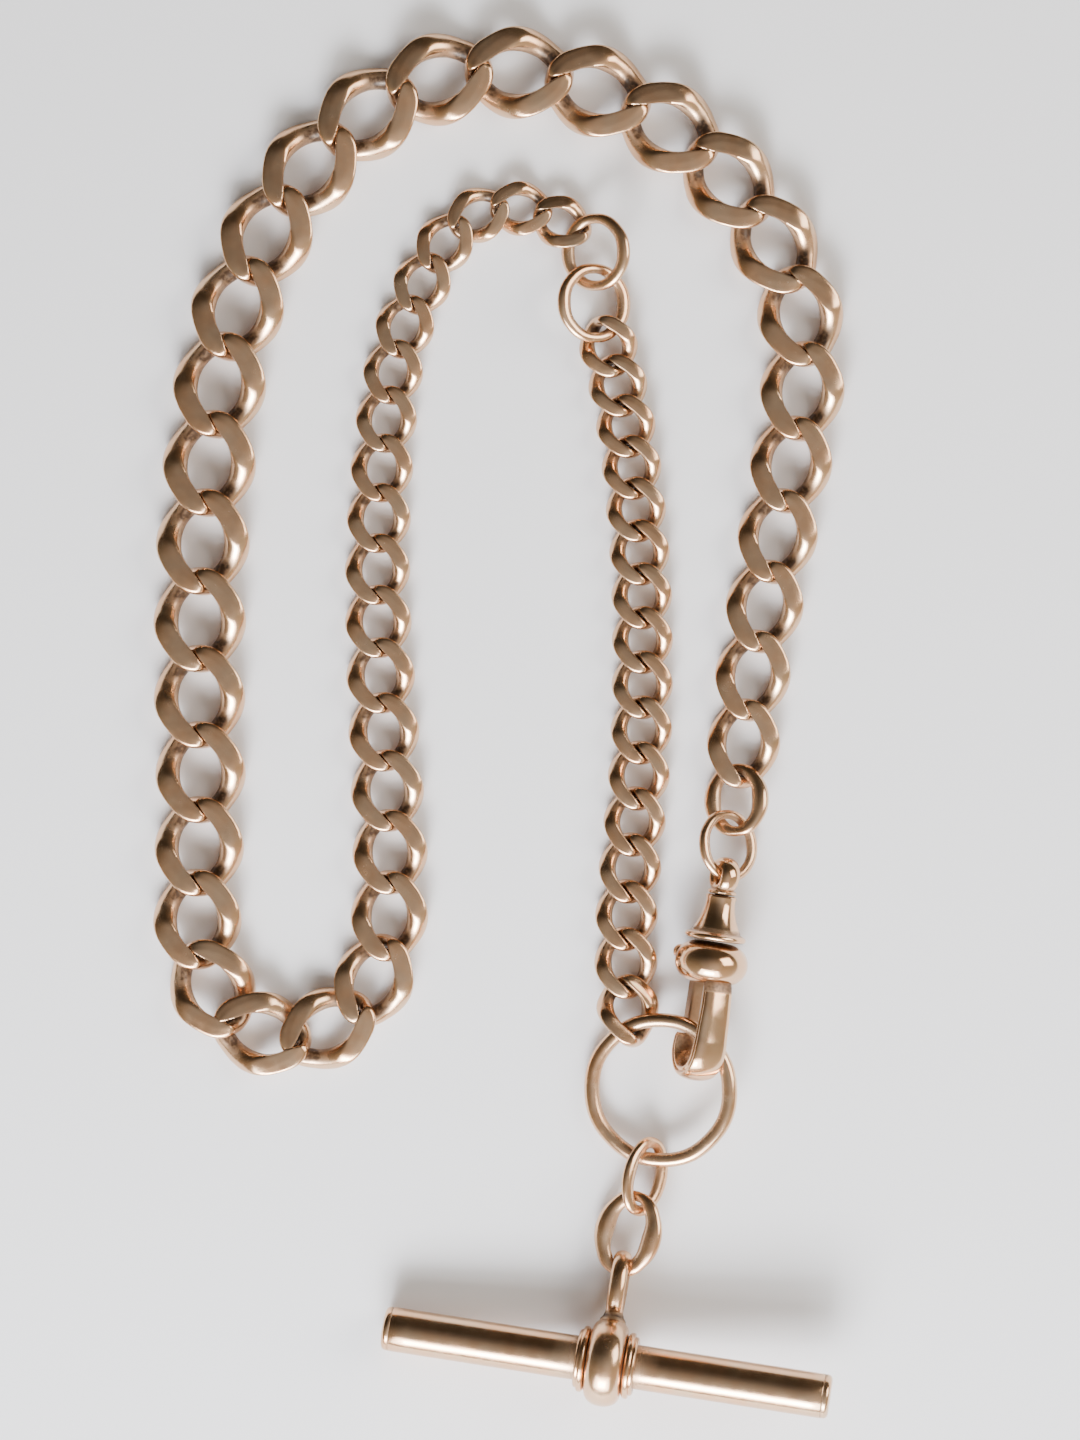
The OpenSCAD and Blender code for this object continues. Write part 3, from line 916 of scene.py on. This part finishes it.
# ---------------------------------------------------------------- stage
class CHAIN_OT_stage(bpy.types.Operator):
    """Makes the pale surface, the soft light and the camera straight above"""
    bl_idname = "chain.stage"
    bl_label = "Stage"

    def execute(self, context):
        settings = context.scene.chain_stage
        self.floor(settings)
        self.lights(context, settings)
        self.camera(context)
        return {"FINISHED"}

    def floor(self, settings):
        """A plain pale surface just under the chain."""
        bpy.ops.object.select_all(action="DESELECT")
        bpy.ops.mesh.primitive_plane_add(size=1.6, location=(0, 0, -0.02 * MM))
        floor = added("floor")
        material = bpy.data.materials.new("pale surface")
        material.use_nodes = True
        shader = material.node_tree.nodes["Principled BSDF"]
        shader.inputs["Base Color"].default_value = (*settings.floor, 1)
        shader.inputs["Roughness"].default_value = 0.75
        floor.data.materials.append(material)

    def lights(self, context, settings):
        """A soft room, brighter towards -Y and +X, with a window, its glow and a side fill."""
        world = bpy.data.worlds.new("soft room")
        world.use_nodes = True
        nodes, links = world.node_tree.nodes, world.node_tree.links
        background = nodes["Background"]
        way = nodes.new("ShaderNodeTexCoord")
        split = nodes.new("ShaderNodeSeparateXYZ")
        links.new(way.outputs["Generated"], split.inputs["Vector"])
        heights = nodes.new("ShaderNodeValToRGB")
        for place, level in ((0, 0.9), (0.3, 0.75), (0.75, 0.7), (1, 1)):
            stop = heights.color_ramp.elements[0] if place == 0 else heights.color_ramp.elements.new(place)
            stop.color = (*(level * part for part in settings.ambient), 1)
        heights.color_ramp.elements.remove(heights.color_ramp.elements[-1])
        links.new(split.outputs["Z"], heights.inputs["Fac"])
        across = nodes.new("ShaderNodeMapRange")
        across.interpolation_type = "SMOOTHSTEP"
        for key, number in (("From Min", -0.9), ("From Max", 0.7), ("To Min", 2.2), ("To Max", 0.22)):
            across.inputs[key].default_value = number
        links.new(split.outputs["Y"], across.inputs["Value"])
        strength = nodes.new("ShaderNodeMath")
        strength.operation = "MULTIPLY"
        strength.inputs[1].default_value = settings.ambient_strength
        sideways = nodes.new("ShaderNodeMapRange")
        for key, number in (("From Min", -0.25), ("From Max", 0.25), ("To Min", 0.72), ("To Max", 1.22)):
            sideways.inputs[key].default_value = number
        links.new(split.outputs["X"], sideways.inputs["Value"])
        both = nodes.new("ShaderNodeMath")
        both.operation = "MULTIPLY"
        links.new(across.outputs["Result"], both.inputs[0])
        links.new(sideways.outputs["Result"], both.inputs[1])
        links.new(both.outputs["Value"], strength.inputs[0])
        links.new(heights.outputs["Color"], background.inputs["Color"])
        links.new(strength.outputs["Value"], background.inputs["Strength"])
        context.scene.world = world
        daylight, lamplight = (0.93, 0.96, 1.0), (1.0, 0.95, 0.88)
        power = settings.key_power
        self.softbox("window", (-0.06, -0.42, 0.26), 0.2, 0.13, power * 0.5, daylight)
        self.softbox("window glow", (-0.06, -0.43, 0.265), 0.46, 0.3, power * 0.62, daylight)
        self.softbox("side fill", (0.4, 0.1, 0.3), 0.3, 0.3, power * 0.25, lamplight)

    def softbox(self, name, place, wide, high, power, colour):
        """A soft lamp that looks at the middle of the chain."""
        bpy.ops.object.select_all(action="DESELECT")
        bpy.ops.object.light_add(type="AREA", location=place)
        lamp = added(name)
        lamp.data.shape = "RECTANGLE"
        lamp.data.size, lamp.data.size_y = wide, high
        lamp.data.energy = power
        lamp.data.color = colour
        lamp.rotation_euler = (-Vector(place)).to_track_quat("-Z", "Y").to_euler()

    def camera(self, context):
        """A camera straight above, framed on the whole chain."""
        view_height = 133.3 * MM
        distance = 500 * MM
        above = (4.1 * MM, -0.3 * MM, distance + 2 * MM)
        bpy.ops.object.select_all(action="DESELECT")
        bpy.ops.object.camera_add(location=above, rotation=(0, 0, 0))
        camera = added("camera")
        camera.data.sensor_fit = "VERTICAL"
        camera.data.sensor_height = 24
        camera.data.lens = camera.data.sensor_height * distance / view_height
        context.scene.camera = camera


class CHAIN_OT_spring(bpy.types.Operator):
    """Gives the gate's spring its finish"""
    bl_idname = "chain.spring"
    bl_label = "Gate spring"

    def execute(self, context):
        spring = frame["nodes"]["gate_spring"]
        spring.data.materials.clear()
        spring.data.materials.append(finish_named("tarnished gold"))
        return {"FINISHED"}


class CHAIN_PT_panel(bpy.types.Panel):
    bl_label = "Watch Chain"
    bl_idname = "CHAIN_PT_panel"
    bl_space_type = "VIEW_3D"
    bl_region_type = "UI"
    bl_category = "Watch Chain"

    def draw(self, context):
        for maker in MAKERS:
            self.layout.operator(maker.bl_idname)
        for group in SETTINGS:
            for name in SETTINGS[group].__annotations__:
                self.layout.prop(getattr(context.scene, group), name)


SETTINGS = {
    "chain_links": LinkSettings,
    "chain_rings": RingSettings,
    "chain_swivel": SwivelSettings,
    "chain_t_bar": TBarSettings,
    "chain_finish": FinishSettings,
    "chain_stage": StageSettings,
}
MAKERS = (CHAIN_OT_stage, CHAIN_OT_long_links, CHAIN_OT_short_links, CHAIN_OT_rings, CHAIN_OT_swivel,
          CHAIN_OT_t_bar, CHAIN_OT_spring)


def register():
    for group in (*SETTINGS.values(), *MAKERS, CHAIN_PT_panel):
        bpy.utils.register_class(group)
    for name, group in SETTINGS.items():
        setattr(bpy.types.Scene, name, bpy.props.PointerProperty(type=group))


def unregister():
    for name in SETTINGS:
        delattr(bpy.types.Scene, name)
    for group in (CHAIN_PT_panel, *reversed(MAKERS), *SETTINGS.values()):
        bpy.utils.unregister_class(group)


def main():
    register()
    bpy.ops.chain.stage()
    bpy.ops.chain.long_links()
    bpy.ops.chain.short_links()
    bpy.ops.chain.rings()
    bpy.ops.chain.swivel()
    bpy.ops.chain.t_bar()
    bpy.ops.chain.spring()


if __name__ == "__main__":
    main()
